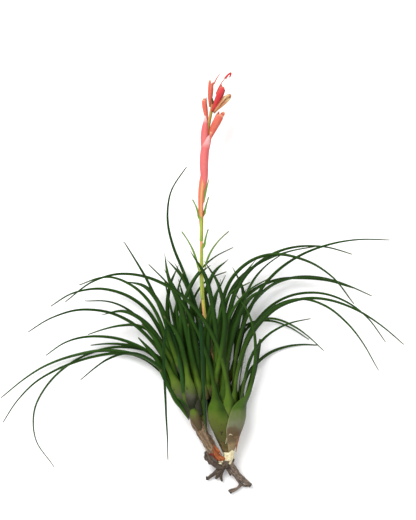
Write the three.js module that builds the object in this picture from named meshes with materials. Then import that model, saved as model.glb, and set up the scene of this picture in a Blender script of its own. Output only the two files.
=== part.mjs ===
// A bare-rooted vriesea in flower, lying on its back: a main rosette with the flower stem, and a smaller
// offset rosette on a woody side stem. Millimetres. +Y runs from the roots to the flower, +X to the right
// as the plant is looked down on, and +Z up from the surface that it lies on.
import * as THREE from "three";

const radians = THREE.MathUtils.degToRad;
const smoothstep = THREE.MathUtils.smoothstep;
const lerp = THREE.MathUtils.lerp;
const point = (x, y, z) => new THREE.Vector3(x, y, z);

// ---- Driving dimensions -------------------------------------------------------------------------------

const LEAF = {
  sheathThickness: 1.2,
  bladeThickness: 1.1,
  tipThickness: 0.6,
  bladeHalfWidth: 3.0,
  tipHalfWidth: 0.7,
  channelHalfAngle: 44, // how deeply the blade is folded into a channel, degrees
  neck: 24, // length over which a sheath narrows to its blade
  footWrap: 0.92, // share of its wrap that a sheath keeps at its foot
  taperPower: 0.55, // lower values keep a blade wide for more of its length
  lastRing: 0.985, // share of the blade's length where its last section stands
  tipSink: 0.3,
  sideClearance: 2.5, // degrees between two sheaths of one layer
};

// A rosette is a set of nested layers of leaf sheaths. The outline gives the outermost layer's radius at
// distances along the axis, and each layer inside it is one pitch smaller.
const MAIN = {
  name: "main",
  base: point(6.5, 3, 14.2),
  direction: point(-0.05, 1, 0.105).normalize(),
  outline: [[0, 4.9], [8, 7.8], [18, 12.2], [28, 16.4], [38, 18.9], [48, 19.5], [60, 18.6], [80, 17]],
  pitch: 2.2,
  stemRadius: 4.4,
  sheathTop: 50, // where the outermost sheaths start to narrow, and how much later each layer does
  topStep: 3.5,
  widestWrap: 46,
};
const OFFSET = {
  name: "offset",
  base: point(-24, 41, 13.4),
  direction: point(-0.4, 0.916, 0.03).normalize(),
  outline: [[0, 7.4], [10, 10.2], [20, 12.7], [30, 13.9], [40, 14], [50, 13.4], [70, 12.5]],
  pitch: 2.0,
  stemRadius: 5.2,
  sheathTop: 30,
  topStep: 3.5,
  widestWrap: 48,
};

// Each leaf: the layer it belongs to (0 is outermost), the azimuth round the axis of its sheath and of the
// fan that its blade bends in (0 faces up, 90 right, 180 down), the blade's length, its lean from +Y at
// even steps along the blade, and how far the blade rises or sinks on the way, which gravity and its
// neighbours decide.
const FOLDED_MAIN = [0, 0, 2, 6, 30, 150, 176, 180, 181, 180, 179, 178];
const FOLDED_OFFSET = [0, 1, 4, 30, 130, 172, 180, 181, 180, 179, 178, 178];
const MAIN_LEAVES = [
  { layer: 0, at: -20, fan: -84, length: 164, leans: [-4, -20, -32, -50], rise: 0 },
  { layer: 0, at: 58, fan: 88, length: 118, leans: [16, 10, -10, -42], rise: 22 },
  { layer: 0, at: 128, fan: 92, length: 110, leans: [2, 38, 72, 96], rise: -8, floor: 2 },
  { layer: 0, at: -105, fan: 12, length: 228, leans: FOLDED_MAIN, rise: 18, drift: -12 },
  { layer: 1, at: 12, fan: -78, length: 250, leans: [-4, -32, -77, -137], rise: 15 },
  { layer: 1, at: 72, fan: 70, length: 122, leans: [6, 20, 58, 82], rise: 2 },
  { layer: 1, at: 150, fan: 90, length: 164, leans: [0, 16, 104, 138], rise: 5, floor: 7 },
  { layer: 1, at: -130, fan: -88, length: 246, leans: [-4, -15, -18, 40], rise: 17 },
  { layer: 2, at: 95, fan: 84, length: 238, leans: [0, 36, 122, 154], rise: 0 },
  { layer: 2, at: 40, fan: 76, length: 245, leans: [2, 40, 105, 132], rise: 4 },
  { layer: 2, at: 175, fan: 90, length: 146, leans: [2, 14, 92, 128], rise: -1 },
  { layer: 2, at: -45, fan: 66, length: 134, leans: [0, 0, 20, 72], rise: 18 },
  { layer: 3, at: 78, fan: 80, length: 233, leans: [0, 36, 102, 150], rise: 6 },
  { layer: 3, at: 132, fan: 88, length: 224, leans: [2, 20, 86, 118], rise: 6 },
  { layer: 3, at: -5, fan: 64, length: 138, leans: [0, 0, 34, 66], rise: 18 },
  { layer: 3, at: -160, fan: 88, length: 216, leans: [4, 18, 82, 108], rise: -1 },
  { layer: 4, at: 60, fan: 78, length: 250, leans: [2, 24, 66, 94], rise: 12 },
  { layer: 4, at: 115, fan: 84, length: 154, leans: [2, 6, 24, 62], rise: 10 },
  { layer: 4, at: 12, fan: 82, length: 236, leans: [-2, 10, 66, 112], rise: 3 },
  { layer: 5, at: -20, fan: 76, length: 260, leans: [-6, 12, 96, 146], rise: 24 },
  { layer: 5, at: 160, fan: 86, length: 196, leans: [-4, 2, 56, 84], rise: 8 },
];
const OFFSET_LEAVES = [
  { layer: 0, at: -112, fan: -90, length: 206, leans: [-24, -80, -112, -132], rise: -4 },
  { layer: 0, at: -62, fan: -70, length: 124, leans: [-24, -52, -110, -130], rise: 0 },
  { layer: 0, at: 32, fan: 64, length: 120, leans: [-18, -14, -2, 24], rise: 12 },
  { layer: 0, at: 175, fan: -92, length: 262, leans: [-30, -95, -146, -224], rise: -6, floor: 2 },
  { layer: 1, at: -88, fan: -86, length: 212, leans: [-24, -90, -118, -152], rise: -2 },
  { layer: 0, at: -12, fan: 6, length: 220, leans: FOLDED_OFFSET, rise: 4, drift: -22 },
  { layer: 1, at: 82, fan: 88, length: 128, leans: [-12, -4, 24, 76], rise: -12, floor: 5 },
  { layer: 1, at: -150, fan: -90, length: 108, leans: [-24, -50, -82, -98], rise: 4 },
  { layer: 2, at: -105, fan: -86, length: 154, leans: [-24, -60, -92, -130], rise: 4 },
  { layer: 2, at: -55, fan: -78, length: 190, leans: [-20, -46, -90, -128], rise: 2 },
  { layer: 2, at: 55, fan: -88, length: 104, leans: [-16, -16, -14, -12], rise: -3 },
  { layer: 2, at: -170, fan: -86, length: 188, leans: [-20, -30, -80, -128], rise: 6 },
  { layer: 3, at: -120, fan: -86, length: 122, leans: [-20, -28, -92, -108], rise: 4 },
  { layer: 3, at: -32, fan: -80, length: 165, leans: [-18, -18, -58, -117], rise: 3 },
  { layer: 3, at: 100, fan: 88, length: 152, leans: [-14, 0, 32, 68], rise: -4 },
  { layer: 3, at: -78, fan: -84, length: 132, leans: [-22, -29, -56, -96], rise: 4 },
  { layer: 3, at: 14, fan: -74, length: 150, leans: [-18, -18, -28, -35], rise: 13 },
];

// The flower stem's own line, from inside the main rosette to the tip of the spike.
const SCAPE_LINE = [
  point(4.8, 36, 18.4),
  point(1.5, 66, 21),
  point(-8, 102, 24),
  point(-16.5, 138, 27),
  point(-20, 172, 29.5),
  point(-20.6, 215, 32),
  point(-19.8, 255, 34),
  point(-18, 295, 35.5),
  point(-13.6, 330, 36.5),
  point(-9.5, 352, 37),
];
const SCAPE_RADIUS = { base: 2.5, tip: 1.1, power: 1.4 };

// Each bract on the flower stem: where its sheath starts along the stem, its side, the lengths of its
// sheath and of its free blade, the width of the sheath, and the blade's leans.
const STEM_BRACTS = [
  { from: 126, at: -80, sheath: 26, length: 45, wrap: 88, leans: [-4, -16, -28, -36] },
  { from: 133, at: 100, sheath: 16, length: 52, wrap: 84, leans: [2, 20, 38, 50] },
  { from: 160, at: 80, sheath: 16, length: 20, wrap: 88, leans: [2, 8, 14, 18] },
  { from: 184, at: -70, sheath: 20, length: 22, wrap: 88, leans: [-2, -10, -22, -30] },
  { from: 184, at: 116, sheath: 24, length: 20, wrap: 78, leans: [2, 10, 14, 18] },
];
const SPIKE_BRACTS = [
  { from: 214, at: -30, sheath: 26, length: 10, wrap: 112, width: 2.4, leans: [0, -3, -6, -8] },
  { from: 251.5, at: -10, sheath: 24, length: 14, wrap: 98, width: 3.4, leans: [4, 4, 2, 0] },
  { from: 289, at: -70, sheath: 8, length: 15, wrap: 72, width: 3.0, leans: [-10, -8, -4, -2] },
];

// Each floret: where it springs from the stem, its side, its length, half its width, its leans and how
// far it rises.
const FLORETS = [
  { from: 306, at: -85, length: 21, halfWidth: 2.6, leans: [-6, -8, 0], rise: 1 },
  { from: 283, at: 105, length: 34, halfWidth: 4.4, leans: [16, 24, 32], rise: 4 },
  { from: 312, at: 95, length: 24, halfWidth: 3.6, leans: [42, 44, 42], rise: 0 },
  { from: 313, at: 20, length: 27, halfWidth: 3.5, leans: [26, 24, 22], rise: 6 },
  { from: 317, at: -60, length: 27, halfWidth: 2.8, leans: [0, 4, 6], rise: 2 },
];

const GAP = 0.35; // clearance between pieces that rest on each other

const BRACT = { clearance: 0.75, thickness: 0.7, neck: 7, halfWidth: 1.5, rise: 2 };
const FLORET = {
  foot: 1.2, // from the stem's skin to the floret's centre line
  flatness: 0.75,
  fullness: [[0, 0.3], [0.2, 0.55], [0.45, 0.85], [0.7, 1], [0.9, 0.9]], // share of its half width
};
const COLOURS = {
  mainLeaf: 0x3f7a24,
  offsetLeaf: 0x3a7022,
  flowerStem: 0x8fa63a,
  stemBract: 0x7f9a35,
  spikeBract: 0xe8707a,
  floret: 0xe8604f,
};
const ROUGHNESS = { leaf: 0.45, flower: 0.5, wood: 0.85 };

// ---- Shapes -------------------------------------------------------------------------------------------

// A closed body through rings of points that run the same way round, ending in one tip point.
function loft(rings, tip) {
  const around = rings[0].length;
  const points = [...rings.flat(), tip];
  const faces = [];
  for (let r = 0; r + 1 < rings.length; r++) {
    for (let i = 0; i < around; i++) {
      const next = (i + 1) % around;
      const [a, b] = [r * around + i, r * around + next];
      faces.push(a, b, b + around, a, b + around, a + around);
    }
  }
  const last = (rings.length - 1) * around;
  for (let i = 0; i < around; i++) faces.push(last + i, last + ((i + 1) % around), points.length - 1);
  for (let i = 0; i < around / 2 - 1; i++) {
    const [a, b, c, d] = [i, i + 1, around - 2 - i, around - 1 - i];
    faces.push(a, c, b, a, d, c);
  }
  const geometry = new THREE.BufferGeometry().setFromPoints(points);
  geometry.setIndex(faces);
  return geometry;
}

// A leaf's cross-section: an arc of the given half width and half angle, concave on the inner side.
const SECTION_POINTS = 4;
function section(centre, side, outward, halfWidth, halfAngle, thickness) {
  const radius = halfWidth / halfAngle;
  const ring = [];
  for (const [r, turn] of [[radius, 1], [radius - thickness, -1]]) {
    for (let i = 0; i < SECTION_POINTS; i++) {
      const angle = turn * halfAngle * ((2 * i) / (SECTION_POINTS - 1) - 1);
      ring.push(
        centre
          .clone()
          .addScaledVector(side, r * Math.sin(angle))
          .addScaledVector(outward, r * Math.cos(angle) - radius),
      );
    }
  }
  const lowest = Math.min(...ring.map((p) => p.z));
  if (lowest < 0) ring.forEach((p) => (p.z -= lowest)); // the surface carries what would sink into it
  return ring;
}

// A round or oval cross-section.
function oval(centre, side, up, halfWidth, halfHeight, count) {
  return Array.from({ length: count }, (_, i) => {
    const angle = (-2 * Math.PI * i) / count;
    return centre
      .clone()
      .addScaledVector(side, halfWidth * Math.cos(angle))
      .addScaledVector(up, halfHeight * Math.sin(angle));
  });
}

function interpolate(table, x) {
  const i = Math.max(1, table.findIndex(([at], n) => n > 0 && (x <= at || n === table.length - 1)));
  const [[x0, y0], [x1, y1]] = [table[i - 1], table[i]];
  return lerp(y0, y1, THREE.MathUtils.clamp((x - x0) / (x1 - x0), 0, 1));
}

// The lean at a share of the blade's length, smooth through leans given at even steps.
function leanAt(leans, share) {
  const knots = leans.map((lean, i) => new THREE.Vector2(i, lean));
  return radians(new THREE.SplineCurve(knots).getPoint(share).y);
}

// The blade's centre line and the outward direction along it, carried without twisting from the sheath.
const FINE_STEPS = 72;
const SURFACE_EASE = { height: 4, softness: 2 }; // where a sinking blade starts to ease onto the surface
const DRIFT_DONE = 0.5; // share of the blade by which its sideways drift is over
function bladePath(start, outward, towards, leaf) {
  const step = leaf.length / FINE_STEPS;
  const points = [start.clone()];
  const flat = start.clone();
  for (let i = 1; i <= FINE_STEPS; i++) {
    const share = (i - 0.5) / FINE_STEPS;
    const lean = leanAt(leaf.leans, share);
    flat.addScaledVector(towards, step * Math.sin(lean));
    flat.y += step * Math.cos(lean);
    const p = flat.clone();
    p.z += leaf.rise * smoothstep(i / FINE_STEPS, 0, 1);
    p.x += (leaf.drift ?? 0) * smoothstep(i / FINE_STEPS, 0, DRIFT_DONE);
    const floor = leaf.floor ?? SURFACE_EASE.height;
    const { softness } = SURFACE_EASE;
    if (p.z < floor) p.z = floor - softness + softness * Math.exp((p.z - floor) / softness);
    points.push(p);
  }
  const frames = [];
  const normal = outward.clone();
  let before = null;
  points.forEach((p, i) => {
    const ahead = points[Math.min(i + 1, FINE_STEPS)].clone().sub(points[Math.max(i - 1, 0)]).normalize();
    if (before) normal.applyQuaternion(new THREE.Quaternion().setFromUnitVectors(before, ahead));
    normal.addScaledVector(ahead, -normal.dot(ahead)).normalize();
    before = ahead;
    frames.push({ centre: p, outward: normal.clone(), side: ahead.clone().cross(normal) });
  });
  return (share) => frames[Math.round(share * FINE_STEPS)];
}

const BLADE_RINGS = { folded: 15, long: 8, short: 6 };
const LONG_BLADE = 150;
const FEWEST_FOLDED_LEANS = 5;
const NECK_MIDDLE = 0.45; // share of the neck where its own section stands

// A leaf: sheath rings on its layer of the rosette, a neck, and a channelled blade to a point.
function leafGeometry(sheathRings, neckStart, leaf) {
  const { centre, outward, halfAngle, halfWidth } = neckStart;
  const fan = radians(leaf.fan);
  const towards = point(Math.abs(Math.sin(fan)), 0, Math.cos(fan) * (leaf.fan < 0 ? -1 : 1));
  const frameAt = bladePath(centre, outward, towards, leaf);
  const rings = [...sheathRings];
  const isFolded = leaf.leans.length >= FEWEST_FOLDED_LEANS;
  const flatStations = leaf.length > LONG_BLADE ? BLADE_RINGS.long : BLADE_RINGS.short;
  const stations = isFolded ? BLADE_RINGS.folded : flatStations;
  const bladeAngle = radians(LEAF.channelHalfAngle);
  const neck = leaf.neck ?? LEAF.neck;
  const bladeHalfWidth = leaf.width ?? LEAF.bladeHalfWidth;
  const shares = [NECK_MIDDLE * (neck / leaf.length), neck / leaf.length];
  for (let i = 1; i <= stations; i++) shares.push(lerp(shares[1], LEAF.lastRing, i / stations));
  for (const share of shares) {
    const along = share * leaf.length;
    const opened = 1 - Math.pow(1 - Math.min(1, along / neck), 2);
    const taper = Math.pow(1 - share, LEAF.taperPower);
    const full = lerp(halfWidth, bladeHalfWidth, opened);
    const half = along < neck ? full : Math.max(LEAF.tipHalfWidth, bladeHalfWidth * taper);
    const angle = lerp(halfAngle, bladeAngle, opened);
    const atRoot = lerp(LEAF.sheathThickness, LEAF.bladeThickness, opened);
    const thickness = lerp(atRoot, LEAF.tipThickness, share);
    const f = frameAt(share);
    rings.push(section(f.centre, f.side, f.outward, half, angle, thickness));
  }
  const end = frameAt(1);
  return loft(rings, end.centre.clone().addScaledVector(end.outward, -LEAF.tipSink));
}

// Azimuth directions round a rosette's axis: 0 up, 90 to the right.
function radial(axis, azimuth) {
  const right = axis.clone().cross(point(0, 0, 1)).normalize();
  const up = right.clone().cross(axis).normalize();
  return up.multiplyScalar(Math.cos(radians(azimuth))).addScaledVector(right, Math.sin(radians(azimuth)));
}

const SHEATH_SHARES = [0, 0.33, 0.66, 1];
const SEARCH_STEP = 0.25;
function rosetteLeaf(rosette, leaf, wrap) {
  const { base, direction, outline, pitch } = rosette;
  const outward = radial(direction, leaf.at);
  const side = direction.clone().cross(outward);
  const radiusAt = (t) => interpolate(outline, t) - leaf.layer * pitch;
  const clearOfStem = rosette.stemRadius + GAP + LEAF.sheathThickness;
  let from = 0;
  while (radiusAt(from) < clearOfStem && from < rosette.sheathTop) from += SEARCH_STEP;
  const top = rosette.sheathTop + leaf.layer * rosette.topStep;
  const rings = SHEATH_SHARES.map((share) => {
    const t = lerp(from, top, share);
    const radius = radiusAt(t);
    const centre = base.clone().addScaledVector(direction, t).addScaledVector(outward, radius);
    const halfAngle = radians(wrap * lerp(LEAF.footWrap, 1, share));
    return section(centre, side, outward, radius * halfAngle, halfAngle, LEAF.sheathThickness);
  });
  const radius = radiusAt(top);
  const centre = base.clone().addScaledVector(direction, top).addScaledVector(outward, radius);
  const start = { centre, outward, halfAngle: radians(wrap), halfWidth: radius * radians(wrap) };
  return leafGeometry(rings, start, leaf);
}

// ---- Assembly -----------------------------------------------------------------------------------------

const plant = new THREE.Group();
function add(name, geometry, colour, roughness) {
  const material = new THREE.MeshStandardMaterial({ color: colour, roughness, metalness: 0 });
  const mesh = new THREE.Mesh(geometry, material);
  mesh.name = name;
  plant.add(mesh);
}

function addLeaves(rosette, leaves, colour) {
  leaves.forEach((leaf, i) => {
    const neighbours = leaves.filter((other) => other.layer === leaf.layer && other !== leaf);
    const turnTo = ({ at }) => Math.abs(THREE.MathUtils.euclideanModulo(at - leaf.at + 180, 360) - 180);
    const nearest = Math.min(...neighbours.map(turnTo));
    const wrap = Math.min(rosette.widestWrap, nearest / 2 - LEAF.sideClearance);
    const number = String(i + 1).padStart(2, "0");
    add(`${rosette.name}_leaf_${number}`, rosetteLeaf(rosette, leaf, wrap), colour, ROUGHNESS.leaf);
  });
}
addLeaves(MAIN, MAIN_LEAVES, COLOURS.mainLeaf);
addLeaves(OFFSET, OFFSET_LEAVES, COLOURS.offsetLeaf);

// The flower stem, tapering along its line.
const scapeCurve = new THREE.CatmullRomCurve3(SCAPE_LINE, false, "centripetal");
const scapeLength = scapeCurve.getLength();
const scapeRadiusAt = (along) =>
  lerp(SCAPE_RADIUS.base, SCAPE_RADIUS.tip, Math.pow(along / scapeLength, SCAPE_RADIUS.power));
function scapeFrame(along) {
  const share = THREE.MathUtils.clamp(along / scapeLength, 0, 1);
  return { centre: scapeCurve.getPointAt(share), ahead: scapeCurve.getTangentAt(share) };
}
function tube(frames, radiusAt, count, tipOvershoot) {
  const rings = frames.map(({ centre, ahead }, i) => {
    const up = point(0, 0, 1);
    const side = ahead.clone().cross(up).normalize();
    const radius = radiusAt(i / (frames.length - 1));
    return oval(centre, side, side.clone().cross(ahead), radius, radius, count);
  });
  const end = frames[frames.length - 1];
  return loft(rings, end.centre.clone().addScaledVector(end.ahead, tipOvershoot));
}
const SCAPE_RINGS = 16;
const SCAPE_TIP = 2;
const ROUND_POINTS = 8;
const scapeShares = Array.from({ length: SCAPE_RINGS }, (_, i) => i / (SCAPE_RINGS - 1));
const scapeFrames = scapeShares.map((share) => scapeFrame(share * scapeLength));
const scape = tube(scapeFrames, (share) => scapeRadiusAt(share * scapeLength), ROUND_POINTS, SCAPE_TIP);
add("flower_stem", scape, COLOURS.flowerStem, ROUGHNESS.flower);

function bractGeometry(bract) {
  const chord = Math.cos(radians(bract.wrap) / (SECTION_POINTS - 1));
  const sheathRadius = (along) => (scapeRadiusAt(along) + GAP) / chord + BRACT.clearance;
  const ringAt = (along) => {
    const { centre, ahead } = scapeFrame(along);
    const outward = radial(ahead, bract.at);
    const radius = sheathRadius(along);
    centre.addScaledVector(outward, radius);
    return { centre, outward, side: ahead.clone().cross(outward), radius };
  };
  const wrap = radians(bract.wrap);
  const rings = [0, 0.5, 1].map((share) => {
    const r = ringAt(bract.from + bract.sheath * share);
    return section(r.centre, r.side, r.outward, r.radius * wrap, wrap, BRACT.thickness);
  });
  const top = ringAt(bract.from + bract.sheath);
  const blade = {
    ...bract,
    fan: 90,
    rise: BRACT.rise * Math.cos(radians(bract.at)),
    width: bract.width ?? BRACT.halfWidth,
    neck: BRACT.neck,
  };
  return leafGeometry(rings, { ...top, halfAngle: wrap, halfWidth: top.radius * wrap }, blade);
}
function addBracts(name, bracts, colour) {
  bracts.forEach((bract, i) => add(`${name}_${i + 1}`, bractGeometry(bract), colour, ROUGHNESS.flower));
}
addBracts("stem_bract", STEM_BRACTS, COLOURS.stemBract);
addBracts("spike_bract", SPIKE_BRACTS, COLOURS.spikeBract);

function floretGeometry(floret) {
  const { centre, ahead } = scapeFrame(floret.from);
  const outward = radial(ahead, floret.at);
  const start = centre.addScaledVector(outward, scapeRadiusAt(floret.from) + GAP + FLORET.foot);
  const towards = point(1, 0, 0);
  const frameAt = bladePath(start, outward, towards, floret);
  const rings = FLORET.fullness.map(([share, size]) => {
    const f = frameAt(share);
    const half = floret.halfWidth * size;
    return oval(f.centre, f.side, f.outward, half, half * FLORET.flatness, ROUND_POINTS);
  });
  return loft(rings, frameAt(1).centre);
}
FLORETS.forEach((floret, i) => {
  add(`floret_${i + 1}`, floretGeometry(floret), COLOURS.floret, ROUGHNESS.flower);
});

// Woody parts: tubes along short lines, each point with its radius.
const BROKEN_END = 0.6; // how far a broken end stands out past its last section
function woodyTube(line) {
  const places = line.map(([x, y, z]) => point(x, y, z));
  const curve = new THREE.CatmullRomCurve3(places, false, "centripetal");
  const radii = line.map(([, , , radius], i) => [i / (line.length - 1), radius]);
  const rings = 2 * line.length - 1;
  const frames = Array.from({ length: rings }, (_, i) => {
    const share = i / (rings - 1);
    return { centre: curve.getPoint(share), ahead: curve.getTangent(share) };
  });
  return tube(frames, (share) => interpolate(radii, share), ROUND_POINTS, BROKEN_END);
}

const WOODY_PARTS = [
  ["main_stem", 0xe6dcc0, [[6.9, -1.5, 14.3, 4.2], [6.4, 8, 15.3, 4.3], [5.4, 26, 17.2, 3.4]]],
  ["rootstock", 0x6b5a4c, [[-15.5, 3, 12, 4.4], [-9.5, -1.5, 11.5, 5.8], [-2.4, -5.6, 10.8, 4.8]]],
  [
    "offset_stem",
    0x7d6348,
    [[-10.5, 8.8, 13.6, 4.4], [-17, 24, 13.6, 5.4], [-24, 41, 13.4, 5.2], [-29, 52, 13.6, 3.6]],
  ],
  ["root_collar", 0x2f2823, [[6.3, -2.4, 12, 5.4], [4.6, -7, 10.4, 5.2]]],
  ["torn_sheath", 0x9a5a34, [[-3.6, 9.5, 12.4, 0.9], [-3.8, 5, 13.2, 1.7], [-1.6, 1.4, 14.6, 1.4]]],
  ["root_long", 0x75645a, [[8.2, -10.4, 8.4, 3.6], [17, -19, 6, 3.3], [29, -31, 3.2, 2.6]]],
  [
    "root_side",
    0x7a685c,
    [[14, -23.5, 3.6, 1.3], [18.5, -29.5, 2.6, 1.7], [15, -34.5, 2, 1.8], [8, -37, 1.8, 1.8]],
  ],
  ["root_short", 0x4a3d34, [[0.5, -13.5, 7.6, 2.6], [-6, -19.5, 4.8, 1.9], [-14.5, -24, 1.7, 1.7]]],
];
WOODY_PARTS.forEach(([name, colour, line]) => add(name, woodyTube(line), colour, ROUGHNESS.wood));

// The plant's origin is on the surface it lies on, under the middle of its outline.
const bounds = new THREE.Box3().setFromObject(plant);
const middle = bounds.getCenter(point(0, 0, 0));
plant.position.set(-middle.x, -middle.y, -bounds.min.z);

export default plant;
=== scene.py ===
"""A bare-rooted vriesea in flower on a pale table, seen from above. Metres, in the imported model's frame."""
import math
import random

import bpy
import numpy as np
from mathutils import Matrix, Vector, noise


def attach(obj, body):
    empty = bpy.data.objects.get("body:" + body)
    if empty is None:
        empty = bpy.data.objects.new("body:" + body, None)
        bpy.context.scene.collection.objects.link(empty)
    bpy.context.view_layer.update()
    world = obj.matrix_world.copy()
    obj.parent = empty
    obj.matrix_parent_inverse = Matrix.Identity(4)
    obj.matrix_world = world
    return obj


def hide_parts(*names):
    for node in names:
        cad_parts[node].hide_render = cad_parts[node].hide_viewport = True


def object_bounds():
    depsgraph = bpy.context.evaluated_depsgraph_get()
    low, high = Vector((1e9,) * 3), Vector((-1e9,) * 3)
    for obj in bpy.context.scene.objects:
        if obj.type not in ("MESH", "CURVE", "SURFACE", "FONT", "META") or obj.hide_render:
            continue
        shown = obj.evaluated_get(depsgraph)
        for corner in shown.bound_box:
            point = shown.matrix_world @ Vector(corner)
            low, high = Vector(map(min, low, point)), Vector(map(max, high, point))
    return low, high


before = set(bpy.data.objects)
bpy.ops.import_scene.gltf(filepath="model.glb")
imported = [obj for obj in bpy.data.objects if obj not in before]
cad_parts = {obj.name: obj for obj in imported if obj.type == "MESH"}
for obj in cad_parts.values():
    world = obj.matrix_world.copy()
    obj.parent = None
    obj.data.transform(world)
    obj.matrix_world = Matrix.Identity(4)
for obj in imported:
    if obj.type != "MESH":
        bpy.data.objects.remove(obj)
cad_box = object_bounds()
MM = 0.001
ROOT = "root"
SEED = 7
chance = random.Random(SEED)

# ---- Camera, table and light --------------------------------------------------------------------------

VIEW_HEIGHT = 0.520      # how much of the table the picture's long side takes in
LENS = 130.0
SENSOR = 36.0
VIEW_CENTRE = Vector((0.0095, 0.0291, 0.02))
FAR_CLIP = 20
TABLE_SIDE = 8
TABLE_GAP = 0.0004       # under the plant, so that nothing flickers where it rests
TABLE_WHITE = (0.98, 0.98, 0.98, 1)
WORLD_LIGHT = 0.66
LIGHTS = {               # place, width and power
    "key": ((-0.7, 0.8, 1.5), 1.0, 32),
    "fill": ((0.9, -0.5, 1.3), 1.4, 6),
}


def set_stage():
    data = bpy.data.cameras.new("camera")
    data.lens = LENS
    data.sensor_width = SENSOR
    data.clip_end = FAR_CLIP
    camera = bpy.data.objects.new("camera", data)
    camera.location = VIEW_CENTRE + Vector((0, 0, VIEW_HEIGHT * LENS / SENSOR))
    bpy.context.scene.collection.objects.link(camera)
    bpy.context.scene.camera = camera

    bpy.ops.mesh.primitive_plane_add(size=TABLE_SIDE, location=(0, 0, cad_box[0][2] - TABLE_GAP))
    table = bpy.context.object
    table.name = "table"
    material = bpy.data.materials.new("pale_table")
    material.use_nodes = True
    shader = material.node_tree.nodes["Principled BSDF"]
    shader.inputs["Base Color"].default_value = TABLE_WHITE
    shader.inputs["Roughness"].default_value = 0.9
    shader.inputs["Specular IOR Level"].default_value = 0.1
    table.data.materials.append(material)

    world = bpy.data.worlds.new("studio")
    world.use_nodes = True
    world.node_tree.nodes["Background"].inputs[0].default_value = (1, 1, 1, 1)
    world.node_tree.nodes["Background"].inputs[1].default_value = WORLD_LIGHT
    bpy.context.scene.world = world
    for name, (place, size, power) in LIGHTS.items():
        light = bpy.data.lights.new(name, "AREA")
        light.size = size
        light.energy = power
        lamp = bpy.data.objects.new(name, light)
        lamp.location = place
        lamp.rotation_euler = (Vector((0, 0, 0)) - Vector(place)).to_track_quat("-Z", "Y").to_euler()
        bpy.context.scene.collection.objects.link(lamp)
    bpy.context.scene.view_settings.view_transform = "Standard"
    bpy.context.scene.view_settings.look = "None"


# ---- Shader building ----------------------------------------------------------------------------------


class Graph:
    """Short names for the nodes that these materials are made of."""

    def __init__(self, tree):
        self.tree = tree

    def add(self, kind, **settings):
        node = self.tree.nodes.new(kind)
        for name, value in settings.items():
            setattr(node, name, value)
        return node

    def feed(self, socket, value):
        if isinstance(value, bpy.types.NodeSocket):
            self.tree.links.new(value, socket)
        else:
            socket.default_value = value

    def attribute(self, name):
        return self.add("ShaderNodeAttribute", attribute_name=name).outputs["Fac"]

    def math(self, operation, a, b=0.0):
        node = self.add("ShaderNodeMath", operation=operation)
        self.feed(node.inputs[0], a)
        self.feed(node.inputs[1], b)
        return node.outputs[0]

    def range(self, value, low, high, to_low=0.0, to_high=1.0):
        node = self.add("ShaderNodeMapRange", interpolation_type="SMOOTHSTEP")
        for socket, number in zip(node.inputs, (value, low, high, to_low, to_high)):
            self.feed(socket, number)
        return node.outputs[0]

    def mix(self, factor, a, b, blend="MIX"):
        node = self.add("ShaderNodeMix", data_type="RGBA", blend_type=blend)
        self.feed(node.inputs[0], factor)
        for socket, colour in ((node.inputs[6], a), (node.inputs[7], b)):
            self.feed(socket, colour if isinstance(colour, bpy.types.NodeSocket) else (*colour, 1))
        return node.outputs[2]

    def ramp(self, value, stops):
        node = self.add("ShaderNodeValToRGB")
        elements = node.color_ramp.elements
        while len(elements) < len(stops):
            elements.new(0.5)
        for element, (place, colour) in zip(elements, stops):
            element.position = place
            element.color = (*colour, 1)
        self.feed(node.inputs[0], value)
        return node.outputs[0]

    def group(self, tree, **inputs):
        node = self.add("ShaderNodeGroup", node_tree=tree)
        for name, value in inputs.items():
            self.feed(node.inputs[name.replace("_", " ")], value)
        return node.outputs


def new_group(name, inputs, outputs):
    tree = bpy.data.node_groups.new(name, "ShaderNodeTree")
    for socket, value in inputs.items():
        made = tree.interface.new_socket(name=socket, in_out="INPUT", socket_type="NodeSocketFloat")
        made.default_value = value
    for socket in outputs:
        tree.interface.new_socket(name=socket, in_out="OUTPUT", socket_type="NodeSocketFloat")
    graph = Graph(tree)
    return tree, graph, graph.add("NodeGroupInput").outputs, graph.add("NodeGroupOutput").inputs


def make_veins_group():
    """Fine parallel veins that run along a leaf, bract or petal."""
    tree, g, given, out = new_group("parallel_veins", {"Across": 0.0, "Count": 20.0, "Seed": 0.0}, ["Ridge"])
    phase = g.math("ADD", g.math("MULTIPLY", given["Across"], given["Count"]), given["Seed"])
    wave = g.math("SINE", g.math("MULTIPLY", phase, math.pi))
    fine = g.math("SINE", g.math("MULTIPLY", phase, math.pi * 2.7))
    total = g.math("ADD", g.math("MULTIPLY", wave, 0.35), g.math("MULTIPLY", fine, 0.15))
    g.feed(out["Ridge"], g.math("ADD", total, 0.5))
    return tree


def make_mottle_group():
    """Cloudy patches and small specks, in the piece's own space."""
    tree, g, given, out = new_group("mottle", {"Size": 0.01, "Seed": 0.0}, ["Patches", "Specks"])
    place = g.add("ShaderNodeTexCoord").outputs["Object"]
    clouds = (("Patches", 1.0, 4.0, 0.38, 0.64), ("Specks", 5.0, 2.0, 0.6, 0.72))
    for socket, fineness, detail, low, high in clouds:
        cloud = g.add("ShaderNodeTexNoise", noise_dimensions="4D")
        g.feed(cloud.inputs["Vector"], place)
        g.feed(cloud.inputs["W"], given["Seed"])
        g.feed(cloud.inputs["Scale"], g.math("DIVIDE", fineness, given["Size"]))
        cloud.inputs["Detail"].default_value = detail
        g.feed(out[socket], g.range(cloud.outputs["Fac"], low, high))
    return tree


VEINS = make_veins_group()
MOTTLE = make_mottle_group()


def new_material(name, roughness, specular=0.5):
    material = bpy.data.materials.new(name)
    material.use_nodes = True
    shader = material.node_tree.nodes["Principled BSDF"]
    shader.inputs["Roughness"].default_value = roughness
    shader.inputs["Specular IOR Level"].default_value = specular
    return material, Graph(material.node_tree), shader


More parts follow.
